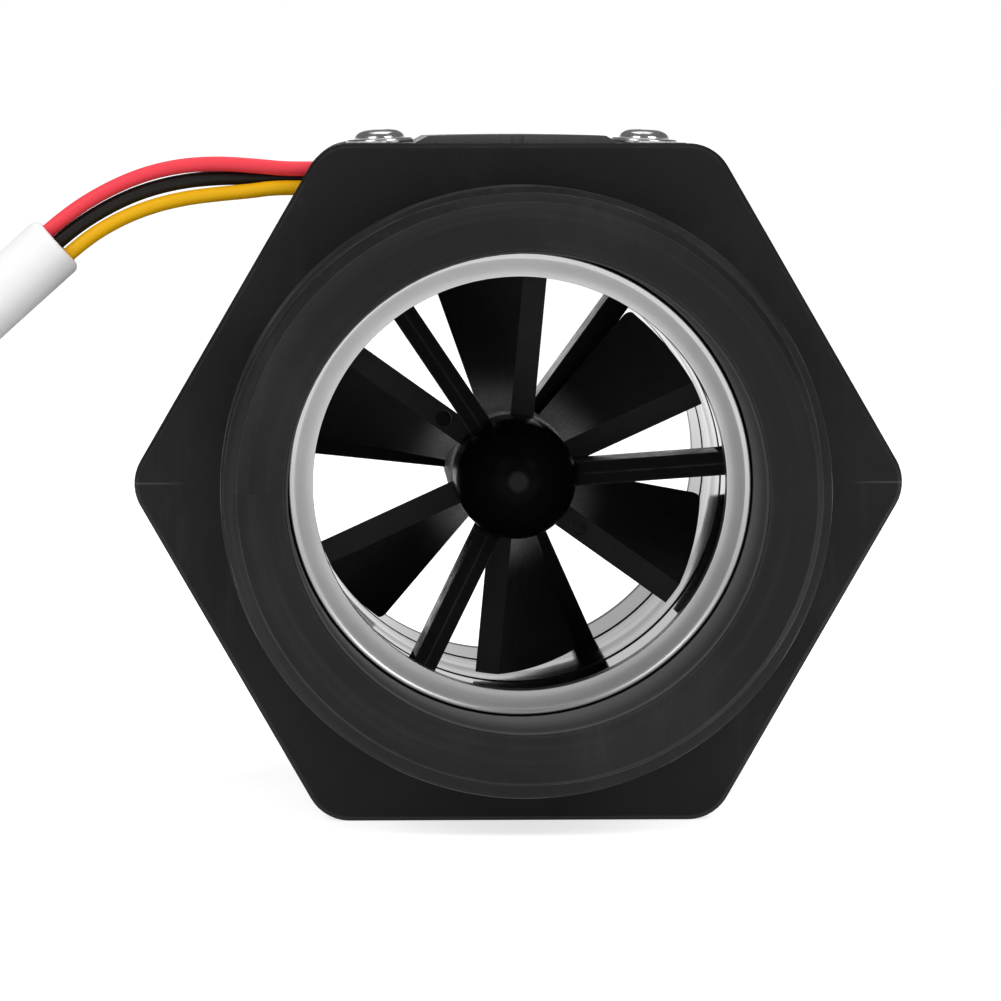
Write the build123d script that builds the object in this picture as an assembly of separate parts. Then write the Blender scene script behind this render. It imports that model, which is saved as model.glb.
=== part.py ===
from build123d import *

import math
import os

# Two-inch turbine water flow sensor, in millimetres.
# The water runs along Y. The end face shown to a viewer in front is at the -Y end.
# +Z is up, and the origin lies under the middle of the body, on its lower flat.

# Body moulding
across_flats = 67.65
hex_corner_radius = 4.5
hex_length = 60.0
hex_edge_chamfer = 0.4
hex_draft = 0.95
pipe_end_length = 20.0
thread_major_radius = 29.8
thread_lead_chamfer = 1.6
mouth_radius = 23.25
mouth_depth = 21.5
mouth_edge_chamfer = 0.35

# Steel lining: two flared sleeves with a plain liner between them
wall_radius = 21.3
steel_wall = 1.0
lip_outer_radius = 22.8
lip_inner_radius = 20.6
lip_depth = 18.0
lip_inner_length = 2.4
lip_round = 0.8
sleeve_length = 17.8
rim_thickness = 2.4

# Rubber seal rings round the sleeves
seal_section = 1.8
seal_depth = 27.0
seal_groove_width = 2.2

# Bearing carriers: a bullet hub on three vanes
hub_radius = 6.07
hub_tip_depth = 21.5
hub_overrun = 0.3
hub_dimple_radius = 1.0
hub_dimple_depth = 0.3
vane_thickness = 2.4
vane_front_depth = 28.0
vane_ridge_height = 0.6
vane_root_sink = 2.0
vane_angles_front = (4.0, 124.0, 244.0)
vane_angles_rear = (54.0, 174.0, 294.0)

# Turbine wheel, its shaft and bearings
blade_count = 6
blade_length = 16.6
blade_thickness = 2.4
blade_twist = 25.0
blade_first_angle = 24.6
blade_set_over = 0.55
blade_tip_gap = 0.5
blade_tip_round = 0.9
wheel_hub_radius = 6.3
wheel_hub_chamfer = 0.5
wheel_boss_radius = 4.4
shaft_radius = 1.25
shaft_overhang = 6.4
bush_radius = 2.6
bush_length = 7.0
washer_radius = 3.2
washer_thickness = 0.6
end_float = 0.3
magnet_radius = 0.82
magnet_length = 5.0
magnet_circle_radius = 8.9
magnet_set_back = 0.3
magnet_blades = (2, 5)

# Sensor pocket in the top flat, with its cover
cover_centre_y = -12.0
cover_length_x = 21.0
cover_length_y = 26.0
cover_corner_radius = 2.0
cover_thickness = 2.0
cover_ear_reach = 13.5
cover_ear_radius = 4.3
pad_length = 17.8
pad_rise = 0.88
pad_crown_radius = 290.0
pad_end_slope_run = 1.4
pad_notch_width = 1.3
pad_notch_depth = 0.5
gasket_thickness = 0.6
pocket_length_x = 16.0
pocket_length_y = 21.0
pocket_corner_radius = 1.5
pocket_depth = 7.5
ledge_width = 1.5
board_thickness = 1.2
board_above_floor = 1.25
element_size = (4.1, 1.6, 3.0)
element_floor_wall = 1.6
leg_radius = 0.25
leg_pitch = 1.27
leg_stand_up = 0.5
resistor_size = (3.2, 1.6, 0.6)
capacitor_size = (2.0, 1.25, 0.8)
chip_spread = 5.0

# Cover screws with plain washers
screw_shank_radius = 1.45
screw_shank_length = 9.0
screw_head_radius = 2.55
screw_head_height = 0.96
screw_washer_radius = 3.42
screw_washer_thickness = 0.5
seat_below_flat = 0.08
seat_spot_radius = 3.7

# Signal wires, white cable and plug
wire_radius = 0.75
cable_radius = 3.3
exit_block_y = -18.9
exit_block_width = 5.2
exit_block_top_wall = 1.7
exit_block_height = 3.7
exit_block_inner_x = -15.5
exit_passage_x = -11.2
solder_x = -5.6
lead_bend_radius = 2.0
exit_clear = 0.05
exit_run = 2.0
passage_width = 6.8
sleeve_end_length = 9.0
sleeve_end_bore = 2.42
cable_mouth = (-46.1, exit_block_y, 57.6)
cable_heading = (-0.743, 0.0, -0.669)
coil_centre = (-112.0, 12.0)
coil_first_radius = 30.4
coil_turn_pitch = 6.8
coil_turns = 1.75
coil_tail_length = 24.0
plug_lead_length = 12.0
plug_lead_pitch = 1.6
plug_entry_depth = 1.0
plug_size = (8.6, 13.0, 5.4)
plug_edge = 0.6
plug_way_pitch = 2.5
plug_way_size = (1.7, 9.0, 3.4)
plug_contact_size = (1.5, 7.5, 0.7)

# Clearances
fit_gap = 0.05
running_gap = 0.02
screw_hole_gap = 0.25
board_gap = 0.2

# Places worked out from the sizes above
axis_height = across_flats / 2
body_length = hex_length + 2 * pipe_end_length
barrel_radius = wall_radius + steel_wall
rim_depth = lip_depth + sleeve_length
hub_face_depth = rim_depth + rim_thickness + hub_overrun
wheel_front_depth = hub_face_depth + washer_thickness + end_float
wheel_length = body_length - 2 * wheel_front_depth
blade_tip_radius = wall_radius - blade_tip_gap
flat_height = across_flats
recess_floor = flat_height - cover_thickness - gasket_thickness
pocket_floor = flat_height - pocket_depth
board_bottom = pocket_floor + board_above_floor
board_top = board_bottom + board_thickness
flow_axis = Location(Plane(origin=(0, -body_length / 2, axis_height), x_dir=(1, 0, 0), z_dir=(0, -1, 0)))


def turned(points):
    """Solid of revolution about the flow axis, from (radius, depth behind the inlet face)."""
    outline = make_face(Polyline(*[(radius, -depth) for radius, depth in points], close=True))
    return revolve(Plane.XZ * outline, Axis.Z)


def tube_about_axis(inner, outer, start, length):
    """Plain tube about the flow axis."""
    return turned([(inner, start), (outer, start), (outer, start + length), (inner, start + length)])


def turned_end_for_end(shape):
    """The same piece at the outlet, turned over so that its left and right stay as they are."""
    middle = Plane(origin=(0, 0, -body_length / 2), z_dir=(0, 0, 1))
    return mirror(shape, about=middle)


def rounded_block(size_x, size_y, bottom, height, corner, centre_y=0.0):
    """Upright block with rounded vertical corners, centred on X = 0."""
    outline = Pos(0, centre_y, bottom) * RectangleRounded(size_x, size_y, corner)
    return extrude(outline, height)


def cylinder_between(start, end, radius):
    """Round bar from one point to another."""
    start, end = Vector(*start), Vector(*end)
    section = Plane(origin=start, z_dir=end - start) * Circle(radius)
    return extrude(section, (end - start).length)


def cord_tube(name, points, radius):
    """Round tube along straight runs joined by tangent arcs, as large as the runs allow."""
    points = [Vector(*point) for point in points]
    bends = []
    for before, corner, after in zip(points, points[1:], points[2:]):
        arriving, leaving = corner - before, after - corner
        half_turn = math.radians(arriving.get_angle(leaving)) / 2
        bends.append(0.45 * min(arriving.length, leaving.length) / math.tan(half_turn))
    path = FilletPolyline(*points, radius=bends) if bends else Line(*points)
    section = Plane(origin=path @ 0, z_dir=path % 0) * Circle(radius)
    solid = sweep(section, path=path)
    swept = math.pi * radius**2 * path.length
    print(name, "length", round(path.length, 1), "bend radii", [round(bend, 1) for bend in bends])
    print(name, "volume", round(solid.volume, 1), "section times length", round(swept, 1))
    return solid


def hexagon_corners(depth, shrink=0.0):
    """Corners of the hexagon at a depth, whose slanted sides draw in with the draft towards the outlet."""
    half = across_flats / 2 - shrink
    side = half - (depth - pipe_end_length) * math.tan(math.radians(hex_draft))
    middle_x = side / math.cos(math.radians(30))
    top_x = middle_x - half * math.tan(math.radians(30))
    corners = [(middle_x, 0), (top_x, half), (-top_x, half), (-middle_x, 0), (-top_x, -half), (top_x, -half)]
    return [Vector(x, y, -depth) for x, y in corners]


def hexagon_block(shrink=0.0):
    """Hexagonal block about the flow axis, with flats at top and bottom and drawn slanted sides."""
    front = hexagon_corners(pipe_end_length, shrink)
    back = hexagon_corners(pipe_end_length + hex_length, shrink)
    skin = [Face(Wire.make_polygon(ring, close=True)) for ring in (front, back)]
    for index in range(len(front)):
        after = (index + 1) % len(front)
        outline = [front[index], front[after], back[after], back[index]]
        skin.append(Face(Wire.make_polygon(outline, close=True)))
    block = Solid(Shell(skin))
    ends = block.faces().sort_by(Axis.Z)
    end_edges = ends[0].edges() + ends[-1].edges()
    long_edges = [edge for edge in block.edges() if edge not in end_edges]
    return fillet(long_edges, hex_corner_radius - shrink)


def screw_seats():
    """The two screw seats on the crowned cover, as frames that lean out with the crown."""
    lean = math.degrees(math.asin(cover_ear_reach / pad_crown_radius))
    seats = []
    for side in (-1, 1):
        place = Location((side * cover_ear_reach, cover_centre_y, flat_height - seat_below_flat))
        seats.append(place * Rot(0, side * lean, 0))
    return seats


def exit_blank(inner_x, outer_x, shrink=0.0):
    """Block that fills the wire exit between two X stations."""
    length = inner_x - outer_x
    height = exit_block_height - 2 * shrink
    centre_z = flat_height - exit_block_top_wall - exit_block_height / 2
    block = Box(length, exit_block_width - 2 * shrink, height)
    return Pos((inner_x + outer_x) / 2, exit_block_y, centre_z) * block


def cover_outline(grow=0.0):
    """Outline of the cover: a rounded rectangle with an ear round each screw."""
    outline = RectangleRounded(
        cover_length_x + 2 * grow, cover_length_y + 2 * grow, cover_corner_radius + grow
    )
    bridge = Rectangle(2 * cover_ear_reach, 2 * (cover_ear_radius + grow))
    ears = [Pos(side * cover_ear_reach, 0) * Circle(cover_ear_radius + grow) for side in (-1, 1)]
    return Pos(0, cover_centre_y) * (outline + bridge + ears[0] + ears[1])


def make_body():
    """Moulded hexagonal body with a pipe end each side, bored through and pocketed on top."""
    outer = thread_major_radius
    lead = thread_lead_chamfer
    pipe = turned([
        (0, 0),
        (outer - lead, 0),
        (outer, lead),
        (outer, body_length - lead),
        (outer - lead, body_length),
        (0, body_length),
    ])
    block = hexagon_block()
    ends = block.faces().sort_by(Axis.Z)
    block = chamfer(ends[0].edges() + ends[-1].edges(), hex_edge_chamfer)
    edge = mouth_edge_chamfer
    bore = turned([
        (0, 0),
        (mouth_radius + edge, 0),
        (mouth_radius, edge),
        (mouth_radius, mouth_depth),
        (barrel_radius, mouth_depth),
        (barrel_radius, body_length - mouth_depth),
        (mouth_radius, body_length - mouth_depth),
        (mouth_radius, body_length - edge),
        (mouth_radius + edge, body_length),
        (0, body_length),
    ])
    groove = tube_about_axis(
        barrel_radius - 0.5, barrel_radius + seal_section + fit_gap,
        seal_depth - seal_groove_width / 2, seal_groove_width,
    )
    body = flow_axis * (pipe + block - bore - groove - turned_end_for_end(groove))
    body -= extrude(Pos(0, 0, recess_floor) * cover_outline(fit_gap), 10)
    body -= rounded_block(
        pocket_length_x, pocket_length_y, board_bottom, 10, pocket_corner_radius, cover_centre_y
    )
    body -= rounded_block(
        pocket_length_x - 2 * ledge_width, pocket_length_y - 2 * ledge_width,
        pocket_floor, 10, pocket_corner_radius, cover_centre_y,
    )
    element_x, element_y, _ = element_size
    element_bottom = axis_height + barrel_radius + element_floor_wall
    recess_height = pocket_floor - element_bottom + 1
    recess = Box(element_x + 2 * board_gap, element_y + 2 * board_gap, recess_height)
    body -= Pos(0, cover_centre_y, element_bottom + recess_height / 2) * recess
    for seat in screw_seats():
        body -= seat * Pos(0, 0, -screw_shank_length / 2 - 0.15) * Cylinder(
            screw_shank_radius, screw_shank_length + 0.3
        )
    body -= exit_blank(exit_passage_x, -across_flats / 2)
    body -= exit_passage()
    return body


def exit_passage():
    """Low passage from the pocket to the wire exit, under the cover's ledge."""
    top = recess_floor - 0.75
    bottom = board_top
    outer_x, inner_x = exit_passage_x - 0.5, -pocket_length_x / 2 + 1
    block = Box(inner_x - outer_x, passage_width, top - bottom)
    return Pos((inner_x + outer_x) / 2, exit_block_y, (top + bottom) / 2) * block


def make_sleeve(inner_lip=None):
    """Steel sleeve that lines one end of the bore, with its flared lip at the open end.

    The lip may also turn in to a radius of its own.
    """
    points = [
        (lip_outer_radius, lip_depth),
        (lip_outer_radius, mouth_depth),
        (barrel_radius, mouth_depth),
        (barrel_radius, rim_depth),
        (wall_radius, rim_depth),
    ]
    if inner_lip is None:
        points += [(wall_radius, lip_depth)]
    else:
        points += [
            (wall_radius, lip_depth + lip_inner_length + wall_radius - inner_lip),
            (inner_lip, lip_depth + lip_inner_length),
            (inner_lip, lip_depth),
        ]
    sleeve = turned(points)
    front = sleeve.faces().sort_by(Axis.Z)[-1]
    return fillet(front.edges().sort_by(SortBy.LENGTH)[-1], lip_round)


def make_liner():
    """Plain steel liner round the turbine wheel, between the carriers' rims."""
    start = rim_depth + rim_thickness
    return tube_about_axis(wall_radius, barrel_radius, start, body_length - 2 * start)


def make_seal():
    """Rubber ring in its groove round the inlet sleeve."""
    section = Pos(barrel_radius + seal_section / 2, -seal_depth) * Circle(seal_section / 2)
    return revolve(Plane.XZ * section, Axis.Z)


def make_vane(angle):
    """One vane of a carrier, ridged towards the water, from inside the hub out into the rim."""
    half = vane_thickness / 2
    start = hub_radius - vane_root_sink
    back = rim_depth + rim_thickness
    gable = make_face(
        Polyline(
            (0, -vane_front_depth),
            (half, -vane_front_depth - vane_ridge_height),
            (half, -back),
            (-half, -back),
            (-half, -vane_front_depth - vane_ridge_height),
            close=True,
        )
    )
    vane = Pos(start, 0, 0) * extrude(Plane.YZ * gable, barrel_radius - start)
    return Rot(0, 0, angle) * vane


def make_carrier(vane_angles):
    """Bearing carrier at the inlet: bullet hub, three vanes and the thin rim that locates it."""
    back = rim_depth + rim_thickness
    nose_root = hub_tip_depth + hub_radius
    bullet = make_face([
        CenterArc((0, -nose_root), hub_radius, 0, 90),
        Line((0, -hub_tip_depth), (0, -hub_face_depth)),
        Line((0, -hub_face_depth), (hub_radius, -hub_face_depth)),
        Line((hub_radius, -hub_face_depth), (hub_radius, -nose_root)),
    ])
    hub = revolve(Plane.XZ * bullet, Axis.Z)
    hub -= tube_about_axis(0, hub_dimple_radius, hub_tip_depth, hub_dimple_depth)
    hub -= tube_about_axis(0, bush_radius, hub_face_depth - bush_length, bush_length)
    reach = wall_radius - fit_gap
    root = wall_radius + steel_wall / 2
    envelope = turned([
        (0, 0),
        (reach, 0),
        (reach, rim_depth),
        (root, rim_depth),
        (root, back),
        (0, back),
    ])
    rim = tube_about_axis(wall_radius, barrel_radius - running_gap, rim_depth, rim_thickness)
    carrier = hub
    for angle in vane_angles:
        carrier += make_vane(angle) & envelope
    return carrier + rim


def make_bush():
    """Bearing bush pressed into the inlet carrier's hub."""
    return tube_about_axis(
        shaft_radius + running_gap, bush_radius, hub_face_depth - bush_length, bush_length
    )


def make_thrust_washer():
    """Washer between the inlet carrier's hub and the turbine wheel."""
    return tube_about_axis(shaft_radius + running_gap, washer_radius, hub_face_depth, washer_thickness)


def make_shaft():
    """Steel shaft, fixed in the wheel and carried in both bushes."""
    start = hub_face_depth - shaft_overhang
    length = body_length - 2 * start
    shaft = Pos(0, 0, -body_length / 2) * Cylinder(shaft_radius, length)
    ends = shaft.edges().filter_by(GeomType.CIRCLE)
    return chamfer(ends, 0.2)


def twisted_blade():
    """One blade, whose bar section turns with depth as the twist carries it round."""
    reach = blade_tip_radius + 2
    section = Pos(reach / 2, -blade_set_over, -wheel_front_depth) * Rectangle(reach, blade_thickness)
    centre = Vector(0, 0, -wheel_front_depth)
    travel = Vector(0, 0, -blade_length)
    return Solid.extrude_linear_with_rotation(section.face(), centre, travel, -blade_twist)


def magnet_frames():
    """Places of the magnets: just behind the leading face, leaning with the blade."""
    lean = math.degrees(math.atan(magnet_circle_radius * math.radians(blade_twist) / blade_length))
    frames = []
    for blade in magnet_blades:
        turn = Rot(0, 0, blade_first_angle + blade * 360 / blade_count)
        place = Pos(magnet_circle_radius, -blade_set_over, -wheel_front_depth)
        frames.append(turn * place * Rot(lean, 0, 0))
    return frames


def make_magnets():
    """Round bar magnets in two opposite blades."""
    bars = []
    for frame in magnet_frames():
        drop = -magnet_set_back - magnet_length / 2
        bars.append(frame * Pos(0, 0, drop) * Cylinder(magnet_radius, magnet_length))
    return Compound(children=bars)


def make_wheel():
    """Six twisted blades on a hub, trimmed to run inside the liner."""
    hub_back = wheel_front_depth + blade_length
    hub = turned([
        (0, wheel_front_depth),
        (wheel_hub_radius - wheel_hub_chamfer, wheel_front_depth),
        (wheel_hub_radius, wheel_front_depth + wheel_hub_chamfer),
        (wheel_hub_radius, hub_back),
        (wheel_boss_radius, hub_back),
        (wheel_boss_radius, wheel_front_depth + wheel_length),
        (0, wheel_front_depth + wheel_length),
    ])
    envelope = Pos(0, 0, -wheel_front_depth - blade_length / 2) * Cylinder(blade_tip_radius, blade_length)
    rear = envelope.edges().filter_by(GeomType.CIRCLE).sort_by(Axis.Z)[0]
    blade = fillet(rear, blade_tip_round) & twisted_blade()
    wheel = hub
    for index in range(blade_count):
        wheel += Rot(0, 0, blade_first_angle + index * 360 / blade_count) * blade
    wheel -= tube_about_axis(0, shaft_radius, 0, body_length)
    for frame in magnet_frames():
        depth = magnet_set_back + magnet_length + 1
        wheel -= frame * Pos(0, 0, 1 - depth / 2) * Cylinder(magnet_radius, depth)
    return wheel


def make_cover():
    """Sensor cover: flush ears under the screws and a crowned pad that stands up between them."""
    plate = extrude(Pos(0, 0, flat_height - cover_thickness) * cover_outline(), cover_thickness)
    half, run = pad_length / 2, pad_end_slope_run
    side_height = pad_crown_radius - math.sqrt(pad_crown_radius**2 - half**2)
    top_height = flat_height + pad_rise
    shoulder = top_height - side_height
    profile = make_face([
        Line((-half - run, flat_height - 1), (-half - run, flat_height)),
        Line((-half - run, flat_height), (-half, shoulder)),
        ThreePointArc((-half, shoulder), (0, top_height), (half, shoulder)),
        Line((half, shoulder), (half + run, flat_height)),
        Line((half + run, flat_height), (half + run, flat_height - 1)),
        Line((half + run, flat_height - 1), (-half - run, flat_height - 1)),
    ])
    front_y = cover_centre_y - cover_length_y / 2
    pad = Pos(0, cover_centre_y + cover_length_y / 2, 0) * extrude(Plane.XZ * profile, cover_length_y)
    pad &= extrude(Pos(0, 0, flat_height - 1) * cover_outline(), 2 + pad_rise)
    notch = Pos(0, front_y, top_height) * Box(pad_notch_width, 2 * pad_notch_depth, 2 * pad_rise)
    cover = plate + pad - notch
    for seat in screw_seats():
        cover -= seat * Pos(0, 0, 1.5) * Cylinder(seat_spot_radius, 3)
        cover -= seat * Cylinder(screw_shank_radius + screw_hole_gap, 3 * cover_thickness)
    return cover


def make_gasket():
    """Flat rubber gasket on the ledge under the cover."""
    gasket = extrude(Pos(0, 0, recess_floor) * cover_outline(), gasket_thickness)
    gasket -= rounded_block(
        pocket_length_x, pocket_length_y, recess_floor - 1, 3, pocket_corner_radius, cover_centre_y
    )
    for seat in screw_seats():
        gasket -= seat * Cylinder(screw_shank_radius + screw_hole_gap, 8 * cover_thickness)
    return gasket


def make_screws():
    """Two domed screws that lean out with the cover's crown."""
    screws = []
    head_bottom = screw_washer_thickness
    sphere_radius = (screw_head_radius**2 + screw_head_height**2) / (2 * screw_head_height)
    dome = Pos(0, 0, head_bottom + screw_head_height - sphere_radius) * Sphere(sphere_radius)
    dome &= Pos(0, 0, head_bottom + screw_head_height / 2) * Cylinder(
        screw_head_radius, screw_head_height
    )
    shank = Pos(0, 0, head_bottom / 2 - screw_shank_length / 2 + 0.2) * Cylinder(
        screw_shank_radius, screw_shank_length + head_bottom - 0.4
    )
    for seat in screw_seats():
        screws.append(seat * (dome + shank))
    return Compound(children=screws)


def make_screw_washers():
    """Plain washers under the two screw heads."""
    hole = screw_shank_radius + fit_gap
    washers = []
    for seat in screw_seats():
        disc = Cylinder(screw_washer_radius, screw_washer_thickness) - Cylinder(hole, 2)
        washers.append(seat * Pos(0, 0, screw_washer_thickness / 2) * disc)
    return Compound(children=washers)


def leg_places():
    """Centres of the sensing element's three legs."""
    return [(index * leg_pitch, cover_centre_y) for index in (-1, 0, 1)]


def make_board():
    """Circuit board on the ledge of the pocket, with a hole for each leg."""
    length_x = pocket_length_x - 2 * board_gap
    length_y = pocket_length_y - 2 * board_gap
    board = rounded_block(
        length_x, length_y, board_bottom, board_thickness, pocket_corner_radius, cover_centre_y
    )
    for x, y in leg_places():
        board -= Pos(x, y, board_bottom + board_thickness / 2) * Cylinder(leg_radius + fit_gap, 3)
    return board


def make_sensing_element():
    """Magnetic sensing element, low in its recess over the wheel, with three legs up to the board."""
    size_x, size_y, size_z = element_size
    bottom = axis_height + barrel_radius + element_floor_wall + fit_gap
    element = Pos(0, cover_centre_y, bottom + size_z / 2) * Box(size_x, size_y, size_z)
    top = board_top + leg_stand_up
    for x, y in leg_places():
        element += cylinder_between((x, y, bottom + size_z - 0.1), (x, y, top), leg_radius)
    return element


def make_board_chips():
    """Resistor and capacitor on top of the board."""
    chips = []
    for side, (size_x, size_y, size_z) in ((1, resistor_size), (-1, capacitor_size)):
        place = Pos(3.0, cover_centre_y + side * chip_spread, board_top + size_z / 2)
        chips.append(place * Box(size_x, size_y, size_z))
    return Compound(children=chips)


# Where each wire crosses the sloping face of the body, as (Y, Z), and where it lies on the board
wire_exits = {
    "red": (exit_block_y - 0.6, flat_height - 2.61),
    "black": (exit_block_y + 0.7, flat_height - 3.55),
    "yellow": (exit_block_y - 0.6, flat_height - 4.53),
}
board_lanes = {"red": exit_block_y - 1.8, "black": exit_block_y + 1.7, "yellow": exit_block_y}
bend_starts = {"red": 0.9, "black": 0.3, "yellow": 0.6}
bend_ends = {"red": 3.2, "black": 3.0, "yellow": 3.0}


def exit_point(colour):
    """Point where a wire has just cleared the sloping face."""
    y, z = wire_exits[colour]
    drawn_in = (y + hex_length / 2) * math.tan(math.radians(hex_draft))
    side = across_flats / 2 - drawn_in
    slope_x = -side / math.cos(math.radians(30)) + (z - axis_height) / math.sqrt(3)
    return (slope_x - wire_radius / math.sqrt(3) - exit_clear, y, z)


def make_board_leads():
    """Inner ends of the three wires, from the board out through the exit block."""
    leads = []
    resting = board_top + wire_radius
    for colour, (y, z) in wire_exits.items():
        lane = board_lanes[colour]
        points = [
            exit_point(colour),
            (exit_block_inner_x + bend_starts[colour], y, z),
            (exit_block_inner_x + bend_ends[colour], lane, resting),
            (solder_x, lane, resting),
        ]
        path = FilletPolyline(*points, radius=lead_bend_radius)
        section = Plane(origin=path @ 0, z_dir=path % 0) * Circle(wire_radius)
        leads.append(sweep(section, path=path).solid())
    return Compound(children=leads)


def make_exit_block():
    """Rubber block that seals the wires where they leave, flush with the sloping face."""
    block = exit_blank(exit_block_inner_x, -across_flats / 2, fit_gap)
    trim = flow_axis * hexagon_block(0.1)
    block &= trim
    for y, z in wire_exits.values():
        block -= cylinder_between((0, y, z), (-across_flats, y, z), wire_radius)
    return block


# Points of the free wires, from the exit to the end of the white cable, by hand from the object
red_route = [
    (-25.8, -19.4, 65.3),
    (-29.9, -19.2, 65.6),
    (-34.0, -19.15, 65.35),
    (-38.0, -19.15, 64.35),
    (-42.0, -19.2, 62.5),
    (-45.5, -19.2, 60.2),
]
black_route = [
    (-26.0, -18.25, 64.15),
    (-29.9, -18.45, 64.15),
    (-33.9, -18.6, 63.75),
    (-37.9, -18.6, 62.7),
    (-41.6, -18.55, 60.95),
    (-45.0, -18.6, 58.7),
]
yellow_route = [
    (-26.6, -19.35, 62.8),
    (-29.9, -19.25, 62.5),
    (-33.2, -19.2, 62.1),
    (-36.6, -19.15, 61.3),
    (-40.0, -19.2, 59.95),
    (-43.4, -19.2, 57.9),
]
wire_lanes = {"red": 1.6, "black": 0.0, "yellow": -1.6}
lane_entry = 3.5


def along_cable(distance, across=0.0):
    """Point in the cable's end sleeve, so far in from its mouth and so far across."""
    x, y, z = cable_mouth
    heading_x, _, heading_z = cable_heading
    return (
        x + distance * heading_x + across * heading_z,
        y,
        z + distance * heading_z - across * heading_x,
    )


def make_wire(name, colour, route):
    """Free wire from the exit block into the end of the cable."""
    start = Vector(*exit_point(colour))
    lane = wire_lanes[colour]
    ends = [along_cable(lane_entry, lane), along_cable(sleeve_end_length, lane)]
    points = [start, start - Vector(exit_run, 0, 0), *route, *ends]
    return cord_tube(name, points, wire_radius)


def make_sleeve_end():
    """End of the white cable, open at its mouth where the three wires go in."""
    mouth, inner = Vector(*cable_mouth), Vector(*along_cable(sleeve_end_length))
    outside = cylinder_between(mouth, inner, cable_radius)
    rim = outside.edges().filter_by(GeomType.CIRCLE).sort_by(Axis.X)[-1]
    outside = fillet(rim, cable_radius - sleeve_end_bore - 0.1)
    return outside - cylinder_between(mouth, inner, sleeve_end_bore)


# The white cable drops to the floor beside the body and lands on its coil
cable_route = [
    along_cable(sleeve_end_length),
    along_cable(sleeve_end_length + 11.5),
    (-69.7, exit_block_y, 30.9),
    (-79.0, exit_block_y, 19.3),
    (-91.0, exit_block_y, 11.9),
    (-104.0, exit_block_y + 0.2, 8.4),
    (-113.5, exit_block_y + 0.4, 6.2),
]


def coil_last_radius():
    """Radius of the cable's centreline where it leaves the coil."""
    return coil_first_radius + coil_turns * coil_turn_pitch


def make_coil():
    """Outer shape of the coiled cable, flat on the floor."""
    first, last = coil_first_radius, coil_last_radius()
    section = make_face([
        Line((first, 0), (last, 0)),
        ThreePointArc((last, 0), (last + cable_radius, cable_radius), (last, 2 * cable_radius)),
        Line((last, 2 * cable_radius), (first, 2 * cable_radius)),
        ThreePointArc((first, 2 * cable_radius), (first - cable_radius, cable_radius), (first, 0)),
    ])
    return Pos(*coil_centre, 0) * revolve(Plane.XZ * section, Axis.Z)


def tail_end():
    """Point on the floor where the tail of the coil ends, off the coil on the body's side."""
    return Vector(
        coil_centre[0] + coil_last_radius(), coil_centre[1] - coil_tail_length, cable_radius
    )


def make_coil_tail():
    """Last straight length of the cable, from the coil's side to the plug leads."""
    end = tail_end()
    return cylinder_between((end.X, coil_centre[1], end.Z), end, cable_radius)


def lead_bars(start_y, length):
    """Three round bars side by side along Y, as thick as the wires."""
    end = tail_end()
    bars = []
    for index in (-1, 0, 1):
        x = end.X + index * plug_lead_pitch
        bars.append(cylinder_between((x, start_y, end.Z), (x, start_y - length, end.Z), wire_radius))
    return bars


def make_plug_leads():
    """Three short leads between the end of the cable and the plug."""
    return Compound(children=lead_bars(tail_end().Y, plug_lead_length))


def plug_block(size, pitch_index, front_y):
    """Block centred on one way of the plug, back from the plug's open front."""
    end = tail_end()
    x = end.X + pitch_index * plug_way_pitch
    return Pos(x, front_y + size[1] / 2, plug_size[2] / 2) * Box(*size)


def make_plug():
    """Three-way plug housing lying on the floor, with a lead entry and an open way for each wire."""
    end = tail_end()
    back_y = end.Y - plug_lead_length + plug_entry_depth
    front_y = back_y - plug_size[1]
    housing = plug_block(plug_size, 0, front_y)
    housing = chamfer(housing.edges().filter_by(Axis.Y), plug_edge)
    for bar in lead_bars(back_y + 1, plug_entry_depth + 1):
        housing -= bar
    for index in (-1, 0, 1):
        housing -= plug_block(plug_way_size, index, front_y)
    return housing


def make_plug_contacts():
    """Three sprung contacts, each against the back of its way."""
    front_y = tail_end().Y - plug_lead_length + plug_entry_depth - plug_size[1]
    set_in = plug_way_size[1] - plug_contact_size[1]
    contacts = [plug_block(plug_contact_size, index, front_y + set_in) for index in (-1, 0, 1)]
    return Compound(children=contacts)


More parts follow.
